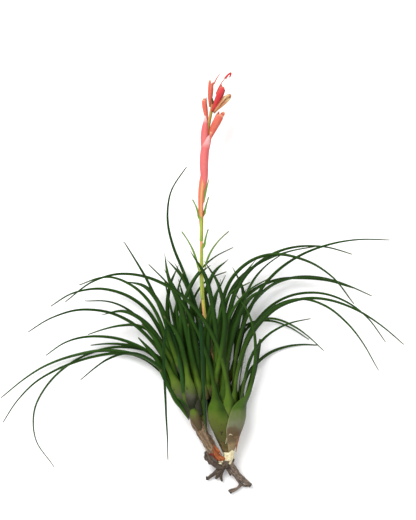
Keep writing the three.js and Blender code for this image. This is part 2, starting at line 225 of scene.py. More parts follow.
def scaled(colour, factors):
    """A colour made lighter or darker, by one factor or by one each for red, green and blue."""
    return tuple(float(c) for c in np.multiply(colour, factors))


def bump(g, shader, height, strength, distance):
    node = g.add("ShaderNodeBump")
    node.inputs["Strength"].default_value = strength
    node.inputs["Distance"].default_value = distance
    g.feed(node.inputs["Height"], height)
    g.feed(shader.inputs["Normal"], node.outputs["Normal"])


BLUER = (0.35, 0.95, 3.2)
# How much lighter and yellower the painted highlight makes a blade.
SUNLIT = (2.6, 2.0, 1.6)
PALER = (1.05, 1.6, 1.5)
DRY_TIP = (0.11, 0.09, 0.035)


def foliage(name, blade, blade_base, sheath, specks, scurf, edge=(0.30, 0.27, 0.15)):
    """A leaf: its sheath's own colours from the root up, then the blade from its pale base to its tip, with a
    painted highlight on leaves of low tone and painted shade down one side of each blade.
    """
    material, g, shader = new_material(name, 0.42, 0.10)
    rise, reach, across, tone = (g.attribute(n) for n in ("rise", "reach", "across", "tone"))
    mottle = g.group(MOTTLE, Size=0.016, Seed=g.math("MULTIPLY", tone, 9.0))
    shift = g.math("MULTIPLY", mottle["Patches"], 0.6)
    veins = g.group(VEINS, Across=across, Count=13.0, Seed=shift)["Ridge"]
    uneven = g.math("MULTIPLY", g.math("SUBTRACT", mottle["Patches"], 0.5), 0.16)
    lower = g.ramp(g.math("ADD", rise, uneven), sheath)
    speckled = g.mix(g.math("MULTIPLY", mottle["Specks"], g.range(rise, 0.95, 0.45)), lower, specks)
    clouded = g.mix(g.math("MULTIPLY", mottle["Patches"], g.range(rise, 0.9, 0.2, 0.0, 0.6)), speckled, scurf)
    upper = g.mix(g.range(reach, 0.0, 0.34), blade_base, blade)
    tinted = g.mix(g.range(tone, 0.6, 1.0, 0.0, 0.8), upper, scaled(blade, BLUER))
    # Painted highlight: leaves of low tone are painted lighter and yellower, as if sunlit.
    painted_highlight = g.mix(g.range(tone, 0.36, 0.08, 0.0, 0.55), tinted, scaled(blade, SUNLIT))
    shaded = g.mix(g.math("MULTIPLY", mottle["Patches"], 0.45), painted_highlight, scaled(blade, 0.45))
    tipped = g.mix(g.range(reach, 0.93, 1.0, 0.0, 0.7), shaded, DRY_TIP)
    whole = g.mix(g.range(rise, 0.9, 1.0), clouded, tipped)
    off_middle = g.math("ABSOLUTE", across)
    rim = g.math("MULTIPLY", g.range(off_middle, 0.93, 1.0), g.range(rise, 1.0, 0.6, 0.05, 0.6))
    edged = g.mix(rim, whole, edge)
    lined = g.mix(g.range(veins, 0.2, 0.9, 0.0, 0.12), edged, scaled(blade_base, 1.7))
    # Painted shade: one long side of each blade, and less of its sheath, is painted darker as if turned away
    # from the light.
    painted_shade_side = g.math("MULTIPLY", g.range(across, -0.3, 0.8, 0.0, 0.72), g.range(rise, 0.7, 1.0, 0.25, 1.0))
    g.feed(shader.inputs["Base Color"], g.mix(painted_shade_side, lined, scaled(blade, 0.4)))
    g.feed(shader.inputs["Roughness"], g.range(rise, 0.3, 1.0, 0.62, 0.4))
    bump(g, shader, g.math("ADD", veins, g.math("MULTIPLY", mottle["Patches"], 0.5)), 0.22, 0.0003)
    return material


def petal_like(name, base, body, tip, tip_from, edge, midrib=None):
    """A bract or petal: colours from root to tip, with a paler edge and soft veins."""
    material, g, shader = new_material(name, 0.5, 0.2)
    reach, across, tone = (g.attribute(n) for n in ("reach", "across", "tone"))
    mottle = g.group(MOTTLE, Size=0.006, Seed=g.math("MULTIPLY", tone, 5.0))
    veins = g.group(VEINS, Across=across, Count=9.0, Seed=tone)["Ridge"]
    colour = g.ramp(reach, [(0.0, base), (0.22, body), (tip_from, body), (min(0.99, tip_from + 0.14), tip)])
    off_middle = g.math("ABSOLUTE", across)
    rim = g.math("MULTIPLY", g.range(off_middle, 0.62, 1.0), g.range(reach, 0.3, 0.95, 0.15, 0.85))
    ribbed = g.mix(rim, colour, edge)
    if midrib:
        middle = g.math("MULTIPLY", g.range(off_middle, 0.34, 0.05), g.range(reach, 0.95, 0.6, 0.0, 0.8))
        ribbed = g.mix(middle, ribbed, midrib)
    clouded = g.mix(g.math("MULTIPLY", mottle["Patches"], 0.45), ribbed, scaled(body, PALER))
    speckled = g.mix(g.math("MULTIPLY", mottle["Specks"], 0.5), clouded, scaled(body, 0.6))
    lined = g.mix(g.range(veins, 0.0, 1.0, 0.0, 0.26), speckled, scaled(body, 0.6))
    g.feed(shader.inputs["Base Color"], lined)
    bump(g, shader, veins, 0.3, 0.0002)
    return material


def woody(name, dark, light, grain, roughness=0.85):
    """Fibrous bark or root: long grain, with dark furrows and paler worn ridges."""
    material, g, shader = new_material(name, roughness, 0.25)
    reach, across, tone = (g.attribute(n) for n in ("reach", "across", "tone"))
    mottle = g.group(MOTTLE, Size=0.0035, Seed=tone)
    shift = g.math("MULTIPLY", mottle["Patches"], 0.8)
    veins = g.group(VEINS, Across=across, Count=grain, Seed=shift)["Ridge"]
    streaks = g.mix(veins, dark, light)
    worn = g.mix(g.math("MULTIPLY", mottle["Patches"], 0.4), streaks, tuple(min(1, c * 1.35) for c in light))
    pitted = g.mix(g.math("MULTIPLY", mottle["Specks"], 0.7), worn, scaled(dark, 0.4))
    ended = g.mix(g.range(reach, 0.9, 1.0, 0.0, 0.6), pitted, scaled(dark, 0.5))
    g.feed(shader.inputs["Base Color"], ended)
    bump(g, shader, g.math("ADD", veins, g.math("MULTIPLY", mottle["Patches"], 0.8)), 0.8, 0.0006)
    return material


def stem_finish(name, stops, side_colour):
    """The flower stem: colours along it, with patches of a warmer flush down one side."""
    material, g, shader = new_material(name, 0.45, 0.25)
    reach, across = g.attribute("reach"), g.attribute("across")
    mottle = g.group(MOTTLE, Size=0.02, Seed=2.0)
    veins = g.group(VEINS, Across=across, Count=16.0, Seed=0.3)["Ridge"]
    along = g.ramp(reach, stops)
    turned = g.math("COSINE", g.math("MULTIPLY", across, math.pi))
    flush = g.math("MULTIPLY", g.range(turned, 0.1, 0.8), g.range(mottle["Patches"], 0.1, 0.7, 0.15, 0.9))
    g.feed(shader.inputs["Base Color"], g.mix(flush, along, side_colour))
    bump(g, shader, veins, 0.25, 0.0002)
    return material


MAIN_BLADE = (0.012, 0.046, 0.004)
OFFSET_BLADE = (0.013, 0.050, 0.004)
NECK_GREEN = (0.068, 0.126, 0.010)
MATERIALS = {
    "main_foliage": foliage(
        "main_foliage",
        blade=MAIN_BLADE,
        blade_base=NECK_GREEN,
        sheath=[(0.0, (0.26, 0.15, 0.07)), (0.18, (0.085, 0.062, 0.022)), (0.48, (0.078, 0.082, 0.018)),
                (0.78, (0.092, 0.122, 0.018)), (1.0, NECK_GREEN)],
        specks=(0.018, 0.012, 0.008),
        scurf=(0.075, 0.062, 0.03),
    ),
    "bloomed_sheath": foliage(
        "bloomed_sheath",
        blade=MAIN_BLADE,
        blade_base=NECK_GREEN,
        sheath=[(0.0, (0.66, 0.54, 0.32)), (0.16, (0.42, 0.29, 0.15)), (0.32, (0.11, 0.055, 0.030)),
                (0.50, (0.12, 0.085, 0.052)), (0.66, (0.165, 0.175, 0.105)), (0.84, (0.115, 0.150, 0.048)),
                (1.0, NECK_GREEN)],
        specks=(0.10, 0.07, 0.045),
        scurf=(0.17, 0.125, 0.08),
        edge=(0.42, 0.38, 0.24),
    ),
    "brown_footed": foliage(
        "brown_footed",
        blade=MAIN_BLADE,
        blade_base=NECK_GREEN,
        sheath=[(0.0, (0.055, 0.035, 0.020)), (0.45, (0.085, 0.050, 0.026)), (0.66, (0.10, 0.098, 0.030)),
                (0.85, (0.098, 0.145, 0.020)), (1.0, NECK_GREEN)],
        specks=(0.05, 0.03, 0.02),
        scurf=(0.10, 0.07, 0.04),
    ),
    "offset_foliage": foliage(
        "offset_foliage",
        blade=OFFSET_BLADE,
        blade_base=NECK_GREEN,
        sheath=[(0.0, (0.02, 0.016, 0.014)), (0.35, (0.045, 0.038, 0.032)), (0.58, (0.055, 0.060, 0.028)),
                (0.8, (0.080, 0.122, 0.016)), (1.0, NECK_GREEN)],
        specks=(0.010, 0.008, 0.007),
        scurf=(0.085, 0.075, 0.065),
        edge=(0.11, 0.19, 0.03),
    ),
    "scurfy_sheath": foliage(
        "scurfy_sheath",
        blade=OFFSET_BLADE,
        blade_base=NECK_GREEN,
        sheath=[(0.0, (0.012, 0.010, 0.009)), (0.22, (0.040, 0.034, 0.030)), (0.36, (0.085, 0.078, 0.060)),
                (0.50, (0.078, 0.105, 0.022)), (0.75, (0.095, 0.150, 0.016)), (1.0, NECK_GREEN)],
        specks=(0.010, 0.008, 0.007),
        scurf=(0.070, 0.062, 0.052),
        edge=(0.15, 0.22, 0.05),
    ),
    "stem_bract": petal_like(
        "stem_bract", base=(0.42, 0.46, 0.07), body=(0.13, 0.22, 0.03),
        tip=(0.15, 0.15, 0.06), tip_from=0.75, edge=(0.22, 0.26, 0.06),
    ),
    "spike_bract": petal_like(
        "spike_bract", base=(0.60, 0.18, 0.09), body=(0.62, 0.115, 0.120),
        tip=(0.74, 0.54, 0.54), tip_from=0.76, edge=(0.66, 0.26, 0.19), midrib=(0.63, 0.155, 0.125),
    ),
    "salmon_bract": petal_like(
        "salmon_bract", base=(0.60, 0.24, 0.09), body=(0.62, 0.155, 0.090),
        tip=(0.60, 0.12, 0.11), tip_from=0.62, edge=(0.62, 0.20, 0.12), midrib=(0.66, 0.44, 0.15),
    ),
    "floret": petal_like(
        "floret", base=(0.40, 0.085, 0.03), body=(0.60, 0.105, 0.072),
        tip=(0.74, 0.50, 0.30), tip_from=0.83, edge=(0.72, 0.36, 0.22), midrib=(0.60, 0.17, 0.09),
    ),
    "red_floret": petal_like(
        "red_floret", base=(0.34, 0.055, 0.02), body=(0.56, 0.040, 0.045),
        tip=(0.72, 0.28, 0.19), tip_from=0.84, edge=(0.68, 0.22, 0.15), midrib=(0.50, 0.025, 0.022),
    ),
    "cream_floret": petal_like(
        "cream_floret", base=(0.40, 0.16, 0.05), body=(0.66, 0.27, 0.13),
        tip=(0.72, 0.60, 0.32), tip_from=0.60, edge=(0.72, 0.56, 0.28),
    ),
    "flower_stem": stem_finish(
        "flower_stem",
        [(0.0, (0.05, 0.07, 0.015)), (0.26, (0.07, 0.09, 0.02)), (0.31, (0.50, 0.30, 0.10)),
         (0.38, (0.42, 0.46, 0.06)), (0.50, (0.33, 0.44, 0.05)),
         (0.57, (0.58, 0.30, 0.11)), (0.66, (0.60, 0.19, 0.10)), (0.78, (0.30, 0.19, 0.035)),
         (1.0, (0.25, 0.21, 0.03))],
        side_colour=(0.80, 0.30, 0.15),
    ),
    "pale_stem": woody("pale_stem", (0.58, 0.46, 0.24), (0.84, 0.76, 0.52), 8.0, 0.55),
    "dry_sheath": woody("dry_sheath", (0.11, 0.014, 0.006), (0.45, 0.13, 0.035), 3.0, 0.55),
    "dark_sheath": woody("dark_sheath", (0.035, 0.005, 0.003), (0.20, 0.028, 0.012), 3.0, 0.5),
    "bark": woody("bark", (0.075, 0.045, 0.028), (0.25, 0.165, 0.095), 10.0),
    "dark_bark": woody("dark_bark", (0.020, 0.014, 0.011), (0.13, 0.095, 0.07), 10.0),
    "root": woody("root", (0.022, 0.015, 0.012), (0.23, 0.175, 0.135), 9.0),
    "fibre": woody("fibre", (0.20, 0.145, 0.10), (0.42, 0.33, 0.24), 3.0),
}

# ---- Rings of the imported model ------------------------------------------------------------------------

AROUND = 8               # points in each ring of a lofted node
MERGE_PER_MM = 500       # points are one when they round to the same step of this many to a millimetre


def merged(node):
    """A node's points in millimetres and its triangles, with the corners that triangles share merged."""
    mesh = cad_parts[node].data
    places = np.array([v.co for v in mesh.vertices]) / MM
    seen, points, index = {}, [], []
    for place in places:
        key = tuple(np.round(place * MERGE_PER_MM).astype(int))
        if key not in seen:
            seen[key] = len(points)
            points.append(place)
        index.append(seen[key])
    mesh.calc_loop_triangles()
    triangles = [tuple(index[i] for i in t.vertices) for t in mesh.loop_triangles]
    return np.array(points), [t for t in triangles if len(set(t)) == 3]


def rings_of(node):
    """The rings of a lofted node from its root to its tip, each the same way round, and its tip point."""
    points, triangles = merged(node)
    near = [set() for _ in points]
    for a, b, c in triangles:
        near[a] |= {b, c}
        near[b] |= {a, c}
        near[c] |= {a, b}
    tip = max(range(len(points)), key=lambda i: len(near[i]))
    cap = next(t for t in triangles if tip in t)
    turn = cap.index(tip)
    ring = [cap[(turn + 1) % 3], cap[(turn + 2) % 3]]
    while len(ring) < AROUND:
        ring.append(next(v for v in near[tip] & near[ring[-1]] if v != ring[-2]))
    rings, used = [ring], {tip, *ring}
    while len(used) < len(points):
        upper = rings[-1]
        lower = [((near[upper[i]] & near[upper[(i + 1) % AROUND]]) - used).pop() for i in range(AROUND)]
        rings.append(lower)
        used |= set(lower)
    rings.reverse()
    return np.array([points[r] for r in rings]), points[tip]


def unit(v):
    return v / np.linalg.norm(v, axis=-1, keepdims=True)


# How deep an arc is against its half width, for each angle from its middle to its edge.
HALF_ANGLES = np.radians(np.linspace(2, 175, 700))
ARC_SHAPES = (np.cos(HALF_ANGLES / 3) - np.cos(HALF_ANGLES)) / np.sin(HALF_ANGLES)


class Leaf:
    """What a leaf-like node's rings say: its spine, the directions across and outwards, and its sizes."""

    def __init__(self, node):
        rings, tip = rings_of(node)
        edges = np.linalg.norm(np.roll(rings[0], -1, 0) - rings[0], axis=1)
        thin = min(range(4), key=lambda k: edges[k] + edges[k + 4])
        arcs = [sum(edges[(thin + 1 + k + start) % AROUND] for k in range(3)) for start in (0, 4)]
        start = thin + 1 + (0 if arcs[0] > arcs[1] else 4)
        rings = np.roll(rings, -start, axis=1)
        chord = (rings[:, 0] + rings[:, 3]) / 2
        top = (rings[:, 1] + rings[:, 2]) / 2
        reach = np.linalg.norm(rings[:, 3] - rings[:, 0], axis=1) / 2
        depth = np.linalg.norm(top - chord, axis=1)
        self.side = unit(rings[:, 3] - rings[:, 0])
        self.out = unit(top - chord)
        self.angle = np.interp(depth / reach, ARC_SHAPES, HALF_ANGLES)
        self.radius = reach / np.sin(self.angle)
        self.spine = chord + self.out * (self.radius * (1 - np.cos(self.angle)))[:, None]
        self.thickness = np.linalg.norm(top - (rings[:, 5] + rings[:, 6]) / 2, axis=1)
        self.tip = tip


def curve_through(values, steps):
    """Catmull-Rom values between the given ones, with so many steps in each span."""
    values = np.asarray(values, float)
    padded = np.concatenate([2 * values[:1] - values[1:2], values, 2 * values[-1:] - values[-2:-1]])
    made = []
    for i in range(len(values) - 1):
        a, b, c, d = padded[i:i + 4]
        for k in range(steps):
            t = k / steps
            made.append(0.5 * (2 * b + (c - a) * t + (2 * a - 5 * b + 4 * c - d) * t**2
                               + (3 * b - a - 3 * c + d) * t**3))
    made.append(values[-1])
    return np.array(made)


# ---- Meshes -------------------------------------------------------------------------------------------


def piece(name, points, faces, values, material, node=None):
    """A finished piece from points in millimetres, with the numbers that its material reads."""
    mesh = bpy.data.meshes.new(name)
    mesh.from_pydata((np.asarray(points) * MM).tolist(), [], faces)
    for label, numbers in values.items():
        field = mesh.attributes.new(label, "FLOAT", "POINT")
        field.data.foreach_set("value", np.asarray(numbers, np.float32))
    mesh.polygons.foreach_set("use_smooth", [True] * len(mesh.polygons))
    mesh.materials.append(MATERIALS[material])
    mesh.update()
    made = bpy.data.objects.new(name, mesh)
    bpy.context.scene.collection.objects.link(made)
    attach(made, ROOT)
    if node:
        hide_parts(node)
    return made


def skin(rows, around, round_section=False):
    """Faces over rows of points that run the same way round, closed at both ends."""
    faces = []
    for r in range(rows - 1):
        for i in range(around):
            j = (i + 1) % around
            faces.append((r * around + i, r * around + j, (r + 1) * around + j, (r + 1) * around + i))
    last = (rows - 1) * around
    if round_section:
        faces.append(tuple(reversed(range(around))))
        faces.append(tuple(last + i for i in range(around)))
        return faces
    for i in range(around // 2 - 1):
        a, b, c, d = i, i + 1, around - 2 - i, around - 1 - i
        faces.append((a, d, c, b))
        faces.append((last + a, last + b, last + c, last + d))
    return faces


LOWEST = 0.05            # the height in mm that no point goes under
EDGE_CROWDING = 0.55     # how far columns gather towards a sheet's edges
EDGE_THINNING = 0.8


def above_table(points):
    points[:, 2] = np.maximum(points[:, 2], LOWEST)
    return points


def sheet_points(spine, side, out, radius, angle, thickness, columns, lift, tuck, swing):
    """Rows of a curved sheet: the outer face from one edge to the other, and the inner face back."""
    spread = np.linspace(-1, 1, columns)
    across = EDGE_CROWDING * np.sin(spread * math.pi / 2) + (1 - EDGE_CROWDING) * spread
    edge = 1 - EDGE_THINNING * np.abs(across) ** 3
    rows = []
    for i in range(len(spine)):
        centre = spine[i] - out[i] * radius[i]
        for u, wall in ((across, 0 * edge), (across[::-1], thickness[i] * edge[::-1])):
            turn = u * angle[i] + swing[i]
            distance = radius[i] + np.where(u < 0, lift[i], -tuck[i]) * u**2 - wall
            rows.append(centre + np.outer(np.sin(turn) * distance, side[i])
                        + np.outer(np.cos(turn) * distance, out[i]))
    return np.concatenate(rows), np.concatenate([across, across[::-1]])


def sheet_piece(name, rows, columns, rise, reach, tone, material, node=None, lift=0.0, tuck=0.0, swing=0.0):
    """A leaf, bract or petal from its rows: spine, side, out, radius, angle and thickness."""
    count = len(rows[0])
    grown = [np.full(count, v) if np.isscalar(v) else v for v in (lift, tuck, swing)]
    points, across = sheet_points(*rows, columns, *grown)
    around = 2 * columns
    values = {
        "rise": np.repeat(rise, around),
        "reach": np.repeat(reach, around),
        "across": np.tile(across, count),
        "tone": np.full(count * around, tone),
    }
    return piece(name, above_table(points), skin(count, around), values, material, node)


def length_along(spine):
    return np.concatenate([[0], np.cumsum(np.linalg.norm(np.diff(spine, axis=0), axis=1))])


SPAN_STEPS = 6
LEAF_COLUMNS = 9
LEAF_STEPS = 8           # in each span of a leaf that has no node of its own
TIP_SHARES = (0.25, 1.0, 0.4)        # the tip's radius, angle and thickness against the last ring's
WRAP_OVER_RISE = ([0, 0.3, 0.55, 0.78, 1.0], [1.0, 1.14, 1.18, 1.0, 0.74])
WRAP_OVER_NECK = ([0, 10, 24, 40], [0.74, 0.72, 0.9, 1.0])        # by millimetres past the sheath
SWAY_OVER_RISE = ([0, 0.35, 1.0], [0, 0.05, 1.0])
FACE_UP_OVER_REACH = ([0.04, 0.35, 1.0], [0.0, 1.3, 1.6])
FULLNESS_OVER_REACH = ([0.0, 0.45, 0.85, 1.0], [1.0, 0.90, 0.98, 0.9])
SWAY_OVER_REACH = ([0, 0.12, 0.5, 1], [1.0, 1.0, 0.3, 0.0])


FACES_DOWN = -0.25       # a blade whose outer side points down more than this is turned the other way up
WAVER_PACE = 0.03
WAVER_WIDTH = 2.2
WAVER_SPREAD = 40        # sets the waver of one leaf apart from the next
SHEATH_FADES = 8         # the sheath's own shape is gone one part in this many along the blade
SHOULDER_FADES = 12
THINNED = 0.9


def finer(leaf):
    """A leaf's spine, outward directions, radius, angle and thickness, with steps between its rings."""
    spine = curve_through(np.concatenate([leaf.spine, [leaf.tip]]), SPAN_STEPS)
    sizes = np.stack([leaf.radius, leaf.angle, leaf.thickness], 1)
    sizes = np.concatenate([sizes, [sizes[-1] * TIP_SHARES]])
    side = unit(curve_through(np.concatenate([leaf.side, leaf.side[-1:]]), SPAN_STEPS))
    out = curve_through(np.concatenate([leaf.out, leaf.out[-1:]]), SPAN_STEPS)
    out = unit(out - side * np.sum(out * side, axis=1, keepdims=True))
    return spine, out, *curve_through(sizes, SPAN_STEPS).T


def turned_up(spine, out, reach):
    """The directions across a leaf and outwards, once its blade has turned to face upwards."""
    ahead = unit(np.gradient(spine, axis=0))
    up = unit(np.array([0.0, 0.0, 1.0]) - ahead * ahead[:, 2:])
    facing = np.where(np.sum(out * up, axis=1, keepdims=True) < FACES_DOWN, -1.0, 1.0)[len(out) // 3]
    out = unit(out + up * facing * np.interp(reach, *FACE_UP_OVER_REACH)[:, None])
    return unit(np.cross(ahead, out)), out


def leaf_piece(node, material, columns=LEAF_COLUMNS, sheath_rings=4, lift=0.7, tuck=0.5, tone=0.5, waver=0.5,
               sway=0.0, swing=0.0, narrow=1.0, hug=1.0, wide=1.0, trail=(0, 0), shouldered=True):
    """A leaf or bract in fine detail, on the spine and widths of its node."""
    spine, out, radius, angle, thickness = finer(Leaf(node))
    length = length_along(spine)
    top = length[(sheath_rings - 1) * SPAN_STEPS]
    rise = np.clip(length / top, 0, 1)
    reach = np.clip((length - top) / (length[-1] - top), 0, 1)
    side, out = turned_up(spine, out, reach)
    drift = np.array([noise.noise(Vector((x * WAVER_PACE, tone * WAVER_SPREAD, 0.5))) for x in length])
    swayed = np.where(rise < 1, np.interp(rise, *SWAY_OVER_RISE), np.interp(reach, *SWAY_OVER_REACH))
    spine = spine + side * (drift * waver * WAVER_WIDTH * reach + sway * swayed)[:, None]
    spine = spine + np.outer(np.clip(reach * 2 - 1, 0, 1), (*trail, 0.0))
    sheathed = np.clip(1 - reach * SHEATH_FADES, 0, 1)
    if shouldered:
        past = np.interp(length - top, *WRAP_OVER_NECK)
        angle = angle * np.where(rise < 1, np.interp(rise, *WRAP_OVER_RISE), past)
        angle = angle * (1 + (wide - 1) * np.clip(1 - reach * SHOULDER_FADES, 0, 1))
        radius = radius * np.interp(reach, *FULLNESS_OVER_REACH)
    pinch = 1 + (hug - 1) * sheathed
    spine = spine - out * (radius * (1 - pinch))[:, None]
    radius = radius * pinch * (1 + (narrow - 1) * np.clip(reach * SHEATH_FADES, 0, 1))
    rows = (spine, side, out, radius, angle, thickness * THINNED * pinch)
    return sheet_piece(f"{node}_finished", rows, columns, rise, reach, tone, material, node,
                       lift * sheathed * rise, tuck * sheathed * rise, swing * sheathed)


THINNEST_HALF = 0.12     # in mm


def free_leaf(name, line, halves, material, tone, bend=0.75, sheath=0.0, lean=0.0, wall=0.8, lift=0.0):
    """A leaf, sheath or petal that has no node of its own, from its line and half widths in millimetres."""
    spine = curve_through(line, LEAF_STEPS)
    half = np.maximum(curve_through(np.array(halves, float)[:, None], LEAF_STEPS)[:, 0], THINNEST_HALF)
    ahead = unit(np.gradient(spine, axis=0))
    up = np.array([math.sin(lean), 0.0, math.cos(lean)])
    side = unit(np.cross(ahead, up))
    out = np.cross(side, ahead)
    length = length_along(spine)
    share = length / length[-1]
    angle = np.full(len(spine), bend)
    rise = np.clip(share / sheath, 0, 1) if sheath else np.ones(len(spine))
    reach = np.clip((share - sheath) / (1 - sheath), 0, 1)
    thickness = np.minimum(wall, half * 0.5)
    rows = (spine, side, out, half / bend, angle, thickness)
    return sheet_piece(name, rows, LEAF_COLUMNS, rise, reach, tone, material, lift=lift)


RIDGE_NOISE = (1.9, 0.05, 30)        # how fast it changes round a piece, along it, and between pieces
KNOT_NOISE = (0.8, 0.22, 50)


def lumps(turn, distance, tone, pace):
    """How far a woody piece swells at a turn round it and a distance along it."""
    around, along, apart = pace
    spot = (math.cos(turn) * around, math.sin(turn) * around, distance * along + tone * apart)
    return noise.noise(Vector(spot))


def tube(name, path, radii, material, node=None, columns=16, ridges=0.0, knots=0.0, tone=0.3):
    """A round piece along a path in millimetres, with ridges along it and knots across it."""
    path, radii = np.asarray(path, float), np.asarray(radii, float)
    ahead = unit(np.gradient(path, axis=0))
    up = np.array([0.0, 0.0, 1.0])
    side = unit(np.cross(ahead, up))
    up = np.cross(side, ahead)
    length = length_along(path)
    turns = np.linspace(0, 2 * math.pi, columns, endpoint=False)
    points, across = [], []
    for i in range(len(path)):
        for turn in turns:
            swell = ridges * lumps(turn, length[i], tone, RIDGE_NOISE)
            swell += knots * lumps(turn, length[i], tone, KNOT_NOISE)
            r = radii[i] * (1 + swell)
            points.append(path[i] + side[i] * math.cos(turn) * r - up[i] * math.sin(turn) * r)
            across.append(turn / math.pi - 1)
    rows = len(path)
    values = {
        "reach": np.repeat(length / length[-1], columns),
        "across": across,
        "tone": np.full(rows * columns, tone),
    }
    faces = skin(rows, columns, round_section=True)
    return piece(name, above_table(np.array(points)), faces, values, material, node)


BLUNT_END = 0.55         # a round piece's radius at its tip against its last ring's


def round_rings(node, steps):
    """A round node's centre line and radii, made finer."""
    rings, tip = rings_of(node)
    centres = rings.mean(axis=1)
    radii = np.linalg.norm(rings - centres[:, None], axis=2).mean(axis=1)
    line = curve_through(np.concatenate([centres, [tip]]), steps)
    sizes = curve_through(np.concatenate([radii, [radii[-1] * BLUNT_END]])[:, None], steps)[:, 0]
    return line, sizes


# ---- The plant ----------------------------------------------------------------------------------------

set_stage()

MAIN_NODES = sorted(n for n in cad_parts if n.startswith("main_leaf"))
OFFSET_NODES = sorted(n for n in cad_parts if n.startswith("offset_leaf"))
# The leaves that differ from their neighbours; tones over 0.6 are bluer, tones under about 0.36 get a painted
# highlight, sway is sideways at the neck in mm.
LEAF_LOOKS = {
    "main_leaf_01": dict(sway=-3.5, swing=-0.02),
    "main_leaf_02": dict(sway=4.5, swing=-0.26, lift=2.6, wide=1.34, material="bloomed_sheath"),
    "main_leaf_03": dict(material="bloomed_sheath"),
    "main_leaf_04": dict(tone=0.95, narrow=1.6, trail=(4.5, 18)),
    "main_leaf_05": dict(material="brown_footed"),
    "main_leaf_06": dict(material="brown_footed"),
    "main_leaf_07": dict(narrow=0.8),
    "main_leaf_08": dict(tone=0.8),
    "main_leaf_11": dict(narrow=0.8),
    "main_leaf_12": dict(material="brown_footed"),
    "offset_leaf_02": dict(tone=0.7),
    "offset_leaf_04": dict(narrow=0.62),
    "offset_leaf_06": dict(tone=0.95, trail=(4.5, 10)),
}
for node in MAIN_NODES + OFFSET_NODES:
    family = "main_foliage" if node in MAIN_NODES else "offset_foliage"
    looks = {"tone": chance.uniform(0.1, 0.6), "material": family, **LEAF_LOOKS.get(node, {})}
    leaf_piece(node, **looks)

# Inner leaves that cross in the middle of the clump: points along each in mm, and its half widths.
MAIN_INNER = [
    ([(12, -108, 20), (10, -80, 30), (11, -40, 38), (22, 10, 40)], [3.4, 2.8, 2.5, 0.2]),
    ([(5, -112, 16), (-3, -85, 25), (-10, -50, 33), (-19, -10, 36), (-34, 20, 34)],
     [3.4, 3.2, 2.9, 2.4, 0.2]),
    ([(16, -104, 26), (19, -70, 35), (16, -30, 44), (8, 10, 50), (-8, 38, 50)], [3.2, 2.8, 2.6, 2.2, 0.2]),
    ([(24, -98, 24), (29, -70, 30), (36, -38, 36), (50, -10, 37), (70, 2, 32)], [3.2, 3.0, 2.7, 2.2, 0.2]),
    ([(4, -96, 9), (-3, -62, 16), (2, -22, 24), (14, 14, 28), (30, 30, 24)], [3.0, 2.8, 2.6, 2.0, 0.2]),
    ([(30, -94, 13), (40, -60, 20), (46, -28, 24), (44, 0, 24), (34, 22, 22)], [2.8, 2.6, 2.4, 1.8, 0.2]),
    ([(20, -98, 11), (22, -60, 15), (30, -25, 18), (40, 6, 17), (58, 30, 12)], [3.0, 2.8, 2.4, 1.8, 0.2]),
    ([(14, -102, 30), (22, -66, 40), (26, -30, 48), (20, 4, 52), (6, 28, 50)], [3.0, 2.8, 2.4, 1.8, 0.2]),
    ([(10, -98, 10), (5, -60, 12), (-2, -25, 16), (-14, 8, 18), (-32, 30, 14)], [3.2, 2.9, 2.6, 2.0, 0.2]),
    ([(7, -141, 14), (3.5, -118, 18), (0.5, -92, 21), (-2, -60, 27), (-10, -25, 31), (-20, 10, 32)],
     [2.0, 4.2, 4.4, 3.6, 2.6, 0.2]),
    ([(46, -116, 12), (51, -100, 13), (57, -76, 17), (62, -50, 20)], [2.0, 3.0, 2.8, 1.5]),
    ([(16, -104, 6), (14, -62, 8), (9, -20, 10), (3, 12, 12)], [3.6, 3.4, 3.0, 0.2]),
    ([(24, -102, 6), (30, -62, 8), (37, -28, 10), (48, 0, 10)], [3.6, 3.2, 2.8, 0.2]),
    ([(8, -110, 23), (5, -84, 25), (6, -50, 29), (14, -14, 33), (27, 14, 31)], [3.0, 3.0, 2.8, 2.2, 0.2]),
]
OFFSET_INNER = [
    ([(-12, -92, 18), (-17, -55, 27), (-16, -20, 34), (-4, 10, 36), (12, 24, 34)], [3.4, 2.9, 2.6, 2.0, 0.2]),
    ([(-16, -86, 24), (-28, -50, 33), (-36, -20, 38), (-52, 2, 36), (-74, 8, 28)], [3.2, 2.8, 2.6, 2.0, 0.2]),
    ([(-8, -90, 12), (-10, -50, 18), (-20, -15, 23), (-30, 12, 24), (-34, 36, 20)],
     [3.0, 2.8, 2.4, 1.8, 0.2]),
    ([(-16, -88, 9), (-25, -55, 11), (-31, -25, 14), (-29, 2, 16), (-20, 24, 16)], [3.2, 2.8, 2.4, 1.8, 0.2]),
    ([(-5, -100, 10), (-8, -70, 12), (-6, -35, 15), (-10, 0, 18), (-24, 26, 18)], [3.4, 3.0, 2.6, 2.0, 0.2]),
    ([(-10, -98, 6), (-18, -62, 8), (-23, -30, 10), (-19, 0, 12)], [3.6, 3.4, 3.0, 0.2]),
    ([(-2, -106, 8), (-10, -68, 9), (-15, -32, 12), (-26, 2, 12)], [3.6, 3.4, 2.8, 0.2]),
    ([(-20, -84, 20), (-34, -58, 26), (-52, -34, 30), (-74, -22, 28), (-98, -26, 20)],
     [3.0, 2.7, 2.4, 1.8, 0.2]),
]
INNER_SHEATH = 0.12
for family, lines in (("main", MAIN_INNER), ("offset", OFFSET_INNER)):
    for number, (line, halves) in enumerate(lines, 1):
        name = f"{family}_inner_leaf_{number}"
        look = f"{family}_foliage"
        free_leaf(name, line, halves, look, chance.uniform(0.1, 0.7), sheath=INNER_SHEATH)

